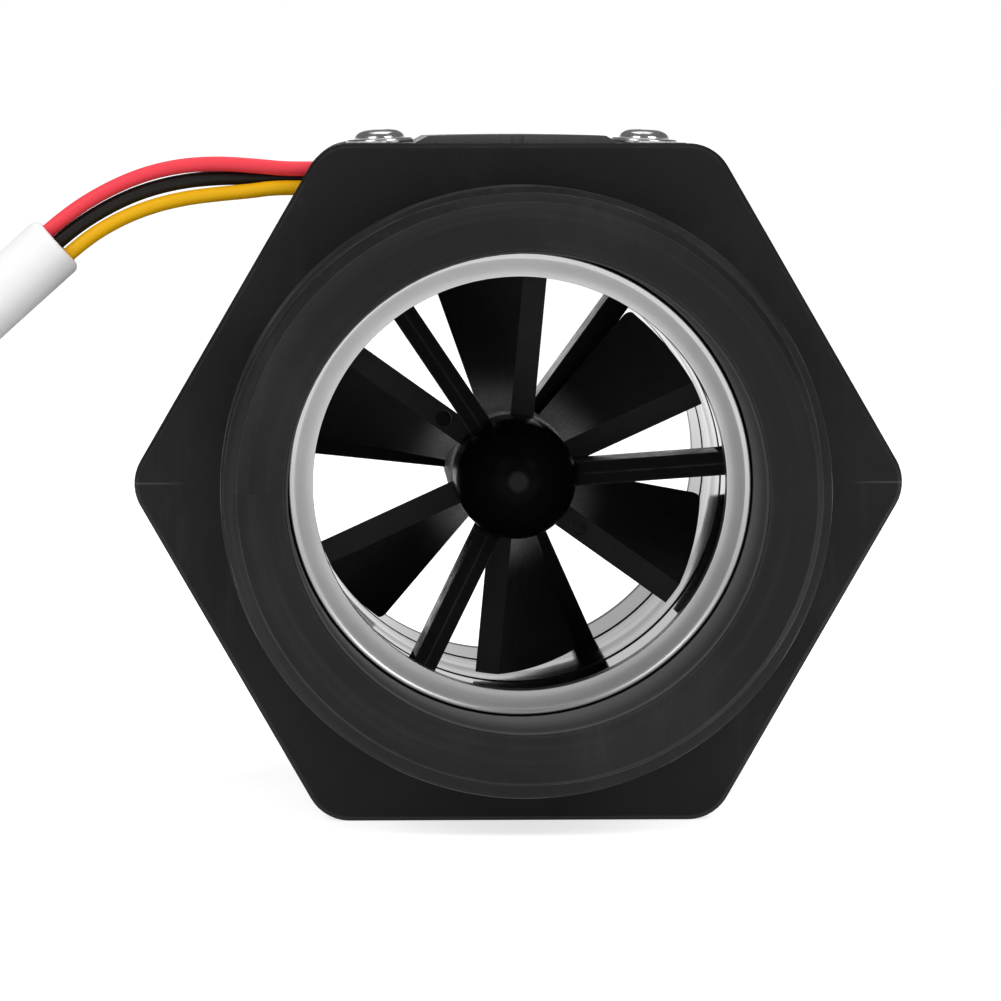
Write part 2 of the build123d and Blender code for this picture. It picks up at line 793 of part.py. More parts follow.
node_shapes = {
    "body_housing": make_body(),
    "front_sleeve": flow_axis * make_sleeve(lip_inner_radius),
    "rear_sleeve": flow_axis * turned_end_for_end(make_sleeve()),
    "liner_tube": flow_axis * make_liner(),
    "front_seal_ring": flow_axis * make_seal(),
    "rear_seal_ring": flow_axis * turned_end_for_end(make_seal()),
    "front_bearing_carrier": flow_axis * make_carrier(vane_angles_front),
    "rear_bearing_carrier": flow_axis * turned_end_for_end(make_carrier(vane_angles_rear)),
    "front_bush": flow_axis * make_bush(),
    "rear_bush": flow_axis * turned_end_for_end(make_bush()),
    "front_thrust_washer": flow_axis * make_thrust_washer(),
    "rear_thrust_washer": flow_axis * turned_end_for_end(make_thrust_washer()),
    "turbine_wheel": flow_axis * make_wheel(),
    "turbine_shaft": flow_axis * make_shaft(),
    "wheel_magnets": flow_axis * make_magnets(),
    "sensor_cover": make_cover(),
    "cover_gasket": make_gasket(),
    "cover_screws": make_screws(),
    "screw_washers": make_screw_washers(),
    "circuit_board": make_board(),
    "sensing_element": make_sensing_element(),
    "board_chips": make_board_chips(),
    "board_leads": make_board_leads(),
    "wire_exit_block": make_exit_block(),
    "red_wire": make_wire("red_wire", "red", red_route),
    "black_wire": make_wire("black_wire", "black", black_route),
    "yellow_wire": make_wire("yellow_wire", "yellow", yellow_route),
    "cable_end_sleeve": make_sleeve_end(),
    "white_cable": cord_tube("white_cable", cable_route, cable_radius),
    "cable_coil": make_coil(),
    "coil_tail": make_coil_tail(),
    "plug_leads": make_plug_leads(),
    "cable_plug": make_plug(),
    "plug_contacts": make_plug_contacts(),
}

os.makedirs("parts", exist_ok=True)
for node, shape in node_shapes.items():
    export_step(shape, f"parts/{node}.step")
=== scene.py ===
import logging
import math
from dataclasses import dataclass
from enum import Enum
from typing import Callable, Iterable, Optional, Sequence, Union

import bmesh
import bpy
from mathutils import Matrix, Vector


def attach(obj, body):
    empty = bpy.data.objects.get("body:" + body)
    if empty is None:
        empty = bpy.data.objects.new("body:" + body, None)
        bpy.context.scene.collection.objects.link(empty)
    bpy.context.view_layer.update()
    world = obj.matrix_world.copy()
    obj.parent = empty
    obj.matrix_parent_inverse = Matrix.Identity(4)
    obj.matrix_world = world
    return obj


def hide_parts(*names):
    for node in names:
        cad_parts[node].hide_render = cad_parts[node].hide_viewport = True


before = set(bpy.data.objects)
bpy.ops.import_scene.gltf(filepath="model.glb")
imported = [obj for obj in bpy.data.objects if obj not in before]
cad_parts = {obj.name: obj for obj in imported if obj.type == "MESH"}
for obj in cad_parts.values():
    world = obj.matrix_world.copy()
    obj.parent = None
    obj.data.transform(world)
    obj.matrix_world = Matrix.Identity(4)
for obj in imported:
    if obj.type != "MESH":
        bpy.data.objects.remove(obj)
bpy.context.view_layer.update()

# Looks of a two-inch turbine water flow sensor. Lengths are in metres unless a name or a
# docstring says millimetres. The water runs along Y, Z is up, and the body stands on Z = 0.

log = logging.getLogger("flow_sensor")

Colour = tuple[float, float, float]
Point = tuple[float, float, float]
Station = tuple[float, float]
Piece = bpy.types.Object
MeshWork = bmesh.types.BMesh
Socket = bpy.types.NodeSocket
Inputs = bpy.types.NodeInputs
Outputs = bpy.types.NodeOutputs
Value = Union[Socket, float]
Shade = Union[Socket, Colour]
Shading = dict[str, Union[Value, Sequence[float]]]

HOUSING = "housing"
AXIS_HEIGHT = 0.033825
MILLIMETRE = 0.001
FULL_TURN = 2 * math.pi
NODE_SPACING = 180


class End(Enum):
    """The two ends of the body, by the sign of Y."""

    INLET = -1
    OUTLET = 1


class Wire(Enum):
    """The three signal wires, from the highest down."""

    RED = "red"
    BLACK = "black"
    YELLOW = "yellow"


def grey(level: float, blue: Optional[float] = None) -> Colour:
    """Neutral colour, with its own blue where it is a little cold or warm."""
    return (level, level, level if blue is None else blue)


def in_metres(points: Iterable[Point]) -> list[Point]:
    """Route points from millimetres to metres."""
    return [(x * MILLIMETRE, y * MILLIMETRE, z * MILLIMETRE) for x, y, z in points]


def from_axis(point: Vector) -> float:
    """Distance of a point from the bore's axis."""
    return math.hypot(point.x, point.z - AXIS_HEIGHT)


def bore_ring(y: float, segments: int, radius: Callable[[float], float]) -> list[Vector]:
    """Ring of points about the bore's axis.

    Args:
        y: station of the ring along the bore.
        segments: number of points.
        radius: gives the radius at each share of a turn.

    Returns:
        The points in order.
    """
    points = []
    for index in range(segments):
        turn = index / segments
        reach, angle = radius(turn), FULL_TURN * turn
        points.append(Vector((reach * math.cos(angle), y, AXIS_HEIGHT + reach * math.sin(angle))))
    return points


def weighted_normals(mesh: bpy.types.Mesh, likeness: float) -> list[Vector]:
    """Corner normals led by the large faces, so that flat faces stay flat beside a rounding.

    Args:
        mesh: the finished mesh.
        likeness: least cosine between the normals of two faces that shade as one.

    Returns:
        A normal for each corner of each face.
    """
    around: list[list[tuple[Vector, float]]] = [[] for _ in mesh.vertices]
    for face in mesh.polygons:
        for vert in face.vertices:
            around[vert].append((face.normal.copy(), face.area))
    normals = []
    for face in mesh.polygons:
        own = face.normal.copy()
        for vert in face.vertices:
            total = own * 1e-12
            for normal, area in around[vert]:
                if own.dot(normal) > likeness:
                    total += normal * area
            normals.append(total.normalized())
    return normals


def linked(name: str, data: bpy.types.ID) -> Piece:
    """New object with its data, linked to the scene."""
    piece = bpy.data.objects.new(name, data)
    bpy.context.scene.collection.objects.link(piece)
    return piece


def object_from_bmesh(name: str, mesh_work: MeshWork, sharp_degrees: float = 32.0) -> Piece:
    """Makes an object from finished mesh work, smooth but for its sharp edges.

    Args:
        name: name of the piece and of its mesh.
        mesh_work: the bmesh, which is freed.
        sharp_degrees: edges that turn more than this stay sharp.

    Returns:
        The new object, linked to the scene.
    """
    bmesh.ops.recalc_face_normals(mesh_work, faces=mesh_work.faces)
    mesh = bpy.data.meshes.new(name)
    mesh_work.to_mesh(mesh)
    mesh_work.free()
    mesh.shade_smooth()
    sharp = math.radians(sharp_degrees)
    mesh.set_sharp_from_angle(angle=sharp)
    mesh.normals_split_custom_set(weighted_normals(mesh, math.cos(sharp)))
    return linked(name, mesh)


def copy_of_node(node: str) -> MeshWork:
    """Welded mesh work with the shape of a CAD node, free to be changed."""
    mesh_work = bmesh.new()
    mesh_work.from_mesh(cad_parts[node].data)
    bmesh.ops.remove_doubles(mesh_work, verts=mesh_work.verts, dist=2e-6)
    return mesh_work


def lathe(mesh_work: MeshWork, rings: Sequence[Sequence[Vector]]) -> list[bmesh.types.BMFace]:
    """Skins rings of points into quads.

    Args:
        mesh_work: the mesh to add to.
        rings: closed rings with the same number of points each.

    Returns:
        The new faces.
    """
    made = [[mesh_work.verts.new(point) for point in ring] for ring in rings]
    faces = []
    for ring, following in zip(made, made[1:]):
        for index, vert in enumerate(ring):
            after = (index + 1) % len(ring)
            corners = (vert, ring[after], following[after], following[index])
            faces.append(mesh_work.faces.new(corners))
    return faces


class NodeBench:
    """Adds and joins nodes in one shader tree."""

    def __init__(self, tree: bpy.types.NodeTree) -> None:
        """Takes the tree to work in."""
        self.tree = tree

    def add(self, kind: str, **settings: object) -> bpy.types.Node:
        """Adds a node of a kind and sets its properties."""
        node = self.tree.nodes.new(kind)
        node.location = (NODE_SPACING * len(self.tree.nodes), 0)
        for name, value in settings.items():
            setattr(node, name, value)
        return node

    def feed(self, target: Socket, value: Union[Value, Sequence[float]]) -> None:
        """Links a socket, or sets a plain value, into a target."""
        if isinstance(value, bpy.types.NodeSocket):
            self.tree.links.new(value, target)
        else:
            target.default_value = value

    def maths(
        self, operation: str, first: Value, second: Value = 0.0, clamp: bool = False
    ) -> Socket:
        """Result of a Math node on two values."""
        node = self.add("ShaderNodeMath", operation=operation, use_clamp=clamp)
        self.feed(node.inputs[0], first)
        self.feed(node.inputs[1], second)
        return node.outputs[0]

    def plus(self, first: Value, second: Value, clamp: bool = False) -> Socket:
        """Sum of two values."""
        return self.maths("ADD", first, second, clamp)

    def minus(self, first: Value, second: Value) -> Socket:
        """First value less the second."""
        return self.maths("SUBTRACT", first, second)

    def times(self, first: Value, second: Value, clamp: bool = False) -> Socket:
        """Product of two values."""
        return self.maths("MULTIPLY", first, second, clamp)

    def remap(
        self, value: Socket, low: float, high: float, to_low: float = 0.0, to_high: float = 1.0
    ) -> Socket:
        """Smooth step of a value from one range to another."""
        node = self.add("ShaderNodeMapRange", interpolation_type="SMOOTHSTEP")
        ends = {"From Min": low, "From Max": high, "To Min": to_low, "To Max": to_high}
        for name, number in {"Value": value, **ends}.items():
            self.feed(node.inputs[name], number)
        return node.outputs["Result"]

    def fall(self, value: Socket, low: float, high: float) -> Socket:
        """Smooth step of a value down from one to nought."""
        return self.remap(value, low, high, to_low=1.0, to_high=0.0)

    def parts(self, vector: Socket) -> Outputs:
        """The X, Y and Z of a vector."""
        node = self.add("ShaderNodeSeparateXYZ")
        self.feed(node.inputs[0], vector)
        return node.outputs

    def vector(self, x: Value, y: Value, z: Value) -> Socket:
        """Vector from its three values."""
        node = self.add("ShaderNodeCombineXYZ")
        for target, value in zip(node.inputs, (x, y, z)):
            self.feed(target, value)
        return node.outputs[0]

    def place(self) -> Socket:
        """Position on the piece."""
        return self.add("ShaderNodeTexCoord").outputs["Object"]

    def facing(self) -> Outputs:
        """The X, Y and Z of the surface's normal."""
        return self.parts(self.add("ShaderNodeNewGeometry").outputs["Normal"])

    def along_bore(self) -> Socket:
        """Distance from the body's middle along the bore, towards either end."""
        return self.maths("ABSOLUTE", self.parts(self.place())["Y"])

    def off_axis(self) -> Socket:
        """Distance from the bore's axis."""
        place = self.parts(self.place())
        height = self.minus(place["Z"], AXIS_HEIGHT)
        square = self.plus(self.maths("POWER", place["X"], 2.0), self.maths("POWER", height, 2.0))
        return self.maths("SQRT", square)

    def over_radius(
        self, radius: float, width: float, inside: float = 0.0, outside: float = 1.0
    ) -> Socket:
        """Smooth step from one level to another at a distance from the bore's axis."""
        return self.remap(self.off_axis(), radius, radius + width, inside, outside)

    def noise(
        self, vector: Socket, scale: Value, detail: float = 3.0, roughness: float = 0.5
    ) -> Socket:
        """Noise value at a position."""
        node = self.add("ShaderNodeTexNoise")
        self.feed(node.inputs["Vector"], vector)
        self.feed(node.inputs["Scale"], scale)
        node.inputs["Detail"].default_value = detail
        node.inputs["Roughness"].default_value = roughness
        return node.outputs["Fac"]

    def blend(self, factor: Value, first: Shade, second: Shade) -> Socket:
        """Mix of two colours by a factor."""
        node = self.add("ShaderNodeMix", data_type="RGBA")
        self.feed(node.inputs[0], factor)
        for slot, value in ((node.inputs[6], first), (node.inputs[7], second)):
            if not isinstance(value, bpy.types.NodeSocket):
                value = (*value, 1.0)
            self.feed(slot, value)
        return node.outputs[2]

    def bump(self, height: Socket, strength: float, distance: float) -> Socket:
        """Normal from a height that varies over the surface."""
        node = self.add("ShaderNodeBump")
        node.inputs["Strength"].default_value = strength
        node.inputs["Distance"].default_value = distance
        self.feed(node.inputs["Height"], height)
        return node.outputs["Normal"]

    def use(self, group: bpy.types.NodeTree, **values: float) -> Outputs:
        """Outputs of a shared effect that is placed with its own values."""
        node = self.add("ShaderNodeGroup", node_tree=group)
        for name, value in values.items():
            node.inputs[name].default_value = value
        return node.outputs


class SharedEffects:
    """Shader groups that more than one finish uses, built once each."""

    def __init__(self) -> None:
        """Builds every group."""
        tone, mask = ("Height", "Tone"), ("Mask",)
        grain = {"Scale": 2600.0, "Patchiness": 60.0}
        turning, wear_and_highlight = {"Fineness": 9000.0}, {"Width": 0.0004, "Gain": 3.0}
        specks = {"Scale": 900.0, "Amount": 0.2}
        self.mould_grain = self._group("MouldGrain", grain, tone, self._mould_grain)
        self.turning_lines = self._group("TurningLines", turning, tone, self._turning_lines)
        self.edge_wear_highlight = self._group("EdgeWearHighlight", wear_and_highlight, mask, self._edge_wear_highlight)
        self.dust = self._group("Dust", specks, mask, self._dust)

    @staticmethod
    def _group(
        name: str,
        inputs: dict[str, float],
        outputs: Sequence[str],
        fill: Callable[[NodeBench, Outputs, Inputs], None],
    ) -> bpy.types.NodeTree:
        """Makes a group with named sockets.

        Args:
            name: name of the group.
            inputs: name and default of each number that it takes.
            outputs: names of the numbers that it gives.
            fill: adds the nodes from what the group takes to what it gives.

        Returns:
            The group's tree.
        """
        tree = bpy.data.node_groups.new(name, "ShaderNodeTree")
        kind = "NodeSocketFloat"
        for label, default in inputs.items():
            socket = tree.interface.new_socket(name=label, in_out="INPUT", socket_type=kind)
            socket.default_value = default
        for label in outputs:
            tree.interface.new_socket(name=label, in_out="OUTPUT", socket_type=kind)
        bench = NodeBench(tree)
        fill(bench, bench.add("NodeGroupInput").outputs, bench.add("NodeGroupOutput").inputs)
        return tree

    @staticmethod
    def _mould_grain(bench: NodeBench, taken: Outputs, given: Inputs) -> None:
        """Fine spark-eroded grain, with slow patches of tone where the plastic flowed."""
        where = bench.place()
        fine = bench.noise(where, taken["Scale"], detail=4.0, roughness=0.62)
        patches = bench.noise(where, taken["Patchiness"])
        bench.feed(given["Height"], fine)
        middle = bench.times(bench.plus(fine, patches), 0.5)
        bench.feed(given["Tone"], bench.remap(middle, low=0.3, high=0.7))

    @staticmethod
    def _turning_lines(bench: NodeBench, taken: Outputs, given: Inputs) -> None:
        """Rings left by turning about the bore's axis, on faces and walls alike."""
        place = bench.parts(bench.place())
        height = bench.minus(place["Z"], AXIS_HEIGHT)
        drift = bench.times(bench.maths("ARCTAN2", height, place["X"]), 0.0004)
        where = bench.vector(bench.off_axis(), place["Y"], drift)
        lines = bench.noise(where, taken["Fineness"], detail=4.0, roughness=0.7)
        bench.feed(given["Height"], lines)
        bench.feed(given["Tone"], bench.remap(lines, low=0.3, high=0.7))

    @staticmethod
    def _edge_wear_highlight(bench: NodeBench, taken: Outputs, given: Inputs) -> None:
        """Worn edges that also carry a painted edge highlight, where the rounded normal leaves the
        real one, broken up by noise.
        """
        rounded = bench.add("ShaderNodeBevel", samples=4)
        bench.feed(rounded.inputs["Radius"], taken["Width"])
        likeness = bench.add("ShaderNodeVectorMath", operation="DOT_PRODUCT")
        bench.feed(likeness.inputs[0], rounded.outputs["Normal"])
        bench.feed(likeness.inputs[1], bench.add("ShaderNodeNewGeometry").outputs["Normal"])
        turned = bench.minus(1.0, likeness.outputs["Value"])
        worn_and_highlit = bench.times(turned, taken["Gain"], clamp=True)
        broken = bench.noise(bench.place(), 420.0, detail=5.0)
        patchy = bench.remap(broken, low=0.3, high=0.65, to_low=0.35)
        bench.feed(given["Mask"], bench.times(worn_and_highlit, patchy))

    @staticmethod
    def _dust(bench: NodeBench, taken: Outputs, given: Inputs) -> None:
        """Light dust, more of it where the surface looks up."""
        upward = bench.remap(bench.facing()["Z"], low=-0.2, high=1.0, to_low=0.15)
        fine = bench.noise(bench.place(), taken["Scale"], detail=6.0, roughness=0.7)
        amount = bench.times(bench.remap(fine, low=0.52, high=0.7), taken["Amount"])
        bench.feed(given["Mask"], bench.times(amount, upward))


def new_material(name: str) -> tuple[bpy.types.Material, NodeBench, Inputs]:
    """Empty material with a Principled shader, its bench and that shader's inputs."""
    material = bpy.data.materials.new(name)
    material.use_nodes = True
    material.node_tree.nodes.clear()
    bench = NodeBench(material.node_tree)
    shader = bench.add("ShaderNodeBsdfPrincipled")
    output = bench.add("ShaderNodeOutputMaterial")
    bench.feed(output.inputs["Surface"], shader.outputs["BSDF"])
    return material, bench, shader.inputs


@dataclass(frozen=True)
class Finish:
    """Recipe of a material. Each kind adds its own nodes."""

    name: str

    def build(self, effects: SharedEffects) -> bpy.types.Material:
        """Makes the material.

        Args:
            effects: the shared shader groups.

        Returns:
            The finished material.
        """
        material, bench, inputs = new_material(self.name)
        for label, value in self.shading(bench, effects).items():
            bench.feed(inputs[label], value)
        return material

    def shading(self, bench: NodeBench, effects: SharedEffects) -> Shading:
        """Adds the nodes, and gives what goes into each of the shader's inputs."""
        raise NotImplementedError


@dataclass(frozen=True)
class MouldedPlastic(Finish):
    """Injection-moulded plastic or rubber with a fine grain, worn edges with a painted edge
    highlight and a little dust.

    The fields that are None by default add what only one moulding shows: its parting line, the
    steel's reflection painted on the sockets' walls round the lips, a painted sheen near the
    wheel's hub, the carrier's dark nose with a painted highlight on its tip, its matt rim, and
    scuffs.
    """

    colour: Colour
    lighter: Colour
    roughness: float
    shine: float
    grain_scale: float = 2600.0
    grain_depth: float = 0.00002
    grain_strength: float = 0.35
    wear_and_highlight: float = 0.5
    worn_and_highlit: Colour = (0.075, 0.075, 0.078)
    dust: float = 0.12
    parting_height: Optional[float] = None
    socket_radius: Optional[float] = None
    sheen_reach: Optional[float] = None
    nose_radius: Optional[float] = None
    matt_beyond: Optional[float] = None
    scuffed: Optional[Colour] = None

    def shading(self, bench: NodeBench, effects: SharedEffects) -> Shading:
        """Adds the nodes, and gives what goes into each of the shader's inputs."""
        grain = bench.use(effects.mould_grain, Scale=self.grain_scale)
        tone, height = grain["Tone"], grain["Height"]
        colour = bench.blend(tone, self.colour, self.lighter)
        if self.scuffed is not None:
            colour = bench.blend(self._handling(bench, effects), colour, self.scuffed)
        if self.parting_height is not None:
            line = self._parting_line(bench)
            colour = bench.blend(bench.times(line, 0.5), colour, self.worn_and_highlit)
            height = bench.plus(height, bench.times(line, 2.0))
        if self.wear_and_highlight > 0:
            # edges lightened for wear and as a painted edge highlight
            edges = bench.use(effects.edge_wear_highlight, Width=0.00035, Gain=2.2)
            colour = bench.blend(bench.times(edges["Mask"], self.wear_and_highlight), colour, self.worn_and_highlit)
        colour = self._own_tones(bench, colour)
        if self.dust > 0:
            specks = bench.use(effects.dust, Amount=self.dust)
            colour = bench.blend(specks["Mask"], colour, (0.42, 0.41, 0.39))
        rough, height = self._own_texture(bench, tone, height)
        return {
            "Base Color": colour,
            "Roughness": rough,
            "Normal": bench.bump(height, self.grain_strength, self.grain_depth),
            "Specular IOR Level": self.shine,
        }

    def _own_tones(self, bench: NodeBench, colour: Socket) -> Socket:
        """Colour with the tones, and the painted reflection, sheen and highlight, that only this
        moulding has.
        """
        if self.sheen_reach is not None:
            # painted sheen on the blade roots near the hub
            colour = bench.blend(self._root_sheen(bench), colour, grey(0.95))
        if self.socket_radius is not None:
            # painted reflection of the steel lip, lightening the socket's wall
            colour = bench.blend(self._socket_reflection(bench), colour, grey(0.17, 0.171))
        if self.nose_radius is not None:
            nose = bench.over_radius(self.nose_radius, width=0.0003, inside=0.7, outside=0.0)
            colour = bench.blend(nose, colour, grey(0.0))
            # painted highlight on the tip of the nose
            tip_highlight = bench.over_radius(0.00085, width=0.0002, inside=0.9, outside=0.0)
            colour = bench.blend(tip_highlight, colour, grey(0.029))
        return colour

    def _own_texture(self, bench: NodeBench, tone: Socket, height: Socket) -> tuple[Socket, Socket]:
        """Roughness and height with what only this moulding has.

        Args:
            bench: where to add the nodes.
            tone: tone of the grain.
            height: height of the grain and the parting line.

        Returns:
            The roughness and the height.
        """
        rough = bench.plus(self.roughness, bench.times(bench.minus(tone, 0.5), 0.24))
        if self.socket_radius is not None:
            outside = bench.over_radius(self.socket_radius, width=0.0002)
            rough = bench.plus(rough, bench.times(bench.minus(1.0, outside), 0.35))
            height = bench.times(height, outside)
        if self.matt_beyond is not None:
            matt = bench.over_radius(self.matt_beyond, width=0.0002, outside=0.68)
            rough = bench.plus(rough, matt)
        return rough, height

    @staticmethod
    def _handling(bench: NodeBench, effects: SharedEffects) -> Socket:
        """Mask of cloudy marks with short scratches, and of swept rings on the end faces."""
        where = bench.place()
        cloudy = bench.noise(where, 55.0, detail=5.0, roughness=0.6)
        clouds = bench.remap(cloudy, low=0.42, high=0.72)
        drawn_out = bench.add("ShaderNodeVectorMath", operation="MULTIPLY")
        bench.feed(drawn_out.inputs[0], where)
        drawn_out.inputs[1].default_value = (1.0, 1.0, 0.16)
        fine = bench.noise(drawn_out.outputs[0], 420.0, detail=6.0, roughness=0.75)
        scratches = bench.remap(fine, low=0.5, high=0.75, to_low=0.4)
        rings = bench.use(effects.turning_lines, Fineness=620.0)["Tone"]
        on_face = bench.remap(bench.along_bore(), low=0.0485, high=0.0495, to_high=0.4)
        swept = bench.times(bench.maths("POWER", rings, 3.0), on_face)
        return bench.plus(bench.times(clouds, scratches), swept, clamp=True)

    def _root_sheen(self, bench: NodeBench) -> Socket:
        """Mask of the faint painted sheen on the sloped faces near the hub, broken into streaks."""
        reach, width = self.sheen_reach, 0.0055
        inward = bench.fall(bench.off_axis(), reach - width, reach)
        across = bench.maths("ABSOLUTE", bench.facing()["Y"])
        sloped = bench.fall(across, low=0.75, high=0.9)
        fine = bench.noise(bench.place(), 1900.0, detail=5.0, roughness=0.7)
        streaks = bench.remap(fine, low=0.3, high=0.7, to_low=0.6)
        return bench.times(bench.times(bench.maths("POWER", inward, 2.3), sloped), streaks)

    def _socket_reflection(self, bench: NodeBench) -> Socket:
        """Mask of the steel's reflection painted on the socket's wall, strongest beside the lip."""
        within = bench.over_radius(self.socket_radius, width=0.0001, inside=1.0, outside=0.0)
        near = bench.remap(bench.along_bore(), low=0.0325, high=0.0480, to_low=1.0, to_high=0.28)
        return bench.times(within, near)

    def _parting_line(self, bench: NodeBench) -> Socket:
        """Mask of the fine line where the mould's halves met, dressed off but at the corners."""
        place = bench.parts(bench.place())
        off = bench.maths("ABSOLUTE", bench.minus(place["Z"], self.parting_height))
        line = bench.fall(off, low=0.00006, high=0.00016)
        outward = bench.remap(bench.maths("ABSOLUTE", place["X"]), low=0.0325, high=0.0365)
        return bench.times(line, outward)


@dataclass(frozen=True)
class TurnedMetal(Finish):
    """Metal turned or ground about the bore's axis, with fine lines and a faint tarnish."""

    colour: Colour
    tarnish: Colour
    roughness: float
    line_strength: float = 0.25
    polished_within: Optional[float] = None
    grazing: float = 1.0
    banding: float = 0.0

    def shading(self, bench: NodeBench, effects: SharedEffects) -> Shading:
        """Adds the nodes, and gives what goes into each of the shader's inputs."""
        lines = bench.use(effects.turning_lines)
        cloud = bench.remap(bench.noise(bench.place(), 130.0, detail=4.0), low=0.4, high=0.75)
        tone = bench.plus(bench.times(lines["Tone"], 0.3), bench.times(cloud, 0.25))
        if self.banding > 0:
            tone = bench.plus(tone, bench.times(self._drawn_bands(bench), self.banding), clamp=True)
        # edges lightened for wear and as a painted edge highlight
        edges = bench.use(effects.edge_wear_highlight, Width=0.0002, Gain=2.0)
        base = bench.blend(tone, self.colour, self.tarnish)
        rough = bench.plus(bench.times(tone, 0.12), self.roughness)
        if self.polished_within is not None:
            rough = bench.times(rough, self._away_from_wall(bench))
        return {
            "Base Color": bench.blend(edges["Mask"], base, self.colour),
            "Metallic": 1.0,
            "Roughness": rough,
            "Normal": bench.bump(lines["Height"], self.line_strength, distance=0.000006),
            "Specular Tint": (*grey(self.grazing), 1.0),
        }

    @staticmethod
    def _drawn_bands(bench: NodeBench) -> Socket:
        """Dull bands round the wall, a few millimetres wide, where it was drawn in steps."""
        station = bench.vector(0.0, bench.parts(bench.place())["Y"], 0.0)
        return bench.remap(bench.noise(station, 150.0, detail=1.5), low=0.38, high=0.66)

    def _away_from_wall(self, bench: NodeBench) -> Socket:
        """Share of the roughness that is left: little on the drawn wall, all of it on the lip."""
        edge, half_width = self.polished_within, 0.0004
        return bench.remap(bench.along_bore(), edge - half_width, edge + half_width, to_low=0.22)


@dataclass(frozen=True)
class PlatedMetal(Finish):
    """Small plated or rolled metal pieces, bright with fine pits and handling marks."""

    colour: Colour
    shade: Colour
    roughness: float

    def shading(self, bench: NodeBench, effects: SharedEffects) -> Shading:
        """Adds the nodes, and gives what goes into each of the shader's inputs."""
        marks = bench.noise(bench.place(), 1500.0, detail=6.0, roughness=0.65)
        spread = bench.remap(marks, low=0.35, high=0.7)
        # edges lightened for wear and as a painted edge highlight
        edges = bench.use(effects.edge_wear_highlight, Width=0.00012, Gain=2.5)
        base = bench.blend(bench.times(spread, 0.6), self.colour, self.shade)
        return {
            "Base Color": bench.blend(edges["Mask"], base, self.colour),
            "Metallic": 1.0,
            "Roughness": bench.plus(bench.times(spread, 0.14), self.roughness),
            "Normal": bench.bump(marks, strength=0.2, distance=0.00001),
        }


@dataclass(frozen=True)
class CableSkin(Finish):
    """Extruded insulation or jacket: soft satin with faint draw marks and scuffs."""

    colour: Colour
    scuffed: Colour
    roughness: float
    dust: float

    def shading(self, bench: NodeBench, effects: SharedEffects) -> Shading:
        """Adds the nodes, and gives what goes into each of the shader's inputs."""
        grain = bench.use(effects.mould_grain, Scale=1800.0, Patchiness=140.0)
        rubs = bench.noise(bench.place(), 700.0, detail=6.0, roughness=0.7)
        scuffs = bench.remap(rubs, low=0.5, high=0.78, to_high=0.5)
        colour = bench.blend(scuffs, self.colour, self.scuffed)
        specks = bench.use(effects.dust, Amount=self.dust, Scale=1300.0)
        return {
            "Base Color": bench.blend(specks["Mask"], colour, (0.5, 0.48, 0.45)),
            "Roughness": bench.plus(bench.times(grain["Tone"], 0.1), self.roughness),
            "Normal": bench.bump(grain["Height"], strength=0.15, distance=0.00002),
            "Specular IOR Level": 0.2,
        }


BODY_NYLON = MouldedPlastic(
    "body_nylon", grey(0.0042, 0.0044), grey(0.0075, 0.0078), roughness=0.5, shine=0.18,
    wear_and_highlight=0.9, worn_and_highlit=grey(0.085, 0.087), dust=0.015, parting_height=AXIS_HEIGHT,
    socket_radius=0.0234, scuffed=grey(0.024, 0.0245),
)
COVER_NYLON = MouldedPlastic(
    "cover_nylon", grey(0.036, 0.0365), grey(0.052, 0.0525), roughness=0.3, shine=0.5,
    grain_scale=3200.0, dust=0.02,
)
ROTOR_ACETAL = MouldedPlastic(
    "rotor_acetal", grey(0.052, 0.053), grey(0.062, 0.063), roughness=0.34, shine=0.001,
    grain_scale=700.0, grain_depth=0.000004, grain_strength=0.12, wear_and_highlight=0.4, worn_and_highlit=grey(0.06),
    dust=0.0, sheen_reach=0.0122,
)
CARRIER_ACETAL = MouldedPlastic(
    "carrier_acetal", grey(0.012, 0.0122), grey(0.015, 0.0152), roughness=0.26, shine=0.02,
    grain_scale=700.0, grain_depth=0.000004, grain_strength=0.12, wear_and_highlight=1.0, worn_and_highlit=grey(0.14),
    dust=0.0, nose_radius=0.0062, matt_beyond=0.0207,
)
SEAL_RUBBER = MouldedPlastic(
    "seal_rubber", grey(0.012), grey(0.018), roughness=0.7, shine=0.25, wear_and_highlight=0.2,
)
BEARING_PLASTIC = MouldedPlastic(
    "bearing_plastic", (0.72, 0.70, 0.64), (0.80, 0.79, 0.74), roughness=0.4, shine=0.5,
    wear_and_highlight=0.0, dust=0.0,
)
BOARD_LACQUER = MouldedPlastic(
    "board_lacquer", (0.012, 0.09, 0.035), (0.02, 0.12, 0.05), roughness=0.3, shine=0.5,
    grain_scale=1400.0, worn_and_highlit=(0.35, 0.33, 0.22), dust=0.0,
)
CHIP_RESIN = MouldedPlastic(
    "chip_resin", grey(0.015, 0.016), grey(0.024, 0.025), roughness=0.5, shine=0.4, dust=0.0,
)
PLUG_NYLON = MouldedPlastic(
    "plug_nylon", (0.62, 0.60, 0.54), (0.70, 0.69, 0.64), roughness=0.42, shine=0.45,
    grain_scale=1600.0, worn_and_highlit=(0.80, 0.79, 0.76), dust=0.08,
)
BORE_STEEL = TurnedMetal(
    "bore_steel", grey(0.56, 0.555), grey(0.24, 0.238), 0.09, grazing=0.55, banding=0.7,
)
LIP_STEEL = TurnedMetal(
    "lip_steel", grey(0.47, 0.467), grey(0.40, 0.397), 0.30, line_strength=0.12,
    polished_within=0.0294, grazing=0.6,
)
OUTLET_STEEL = TurnedMetal(
    "outlet_steel", grey(0.42, 0.417), grey(0.34, 0.337), 0.30, line_strength=0.12,
    polished_within=0.0294, grazing=0.35,
)
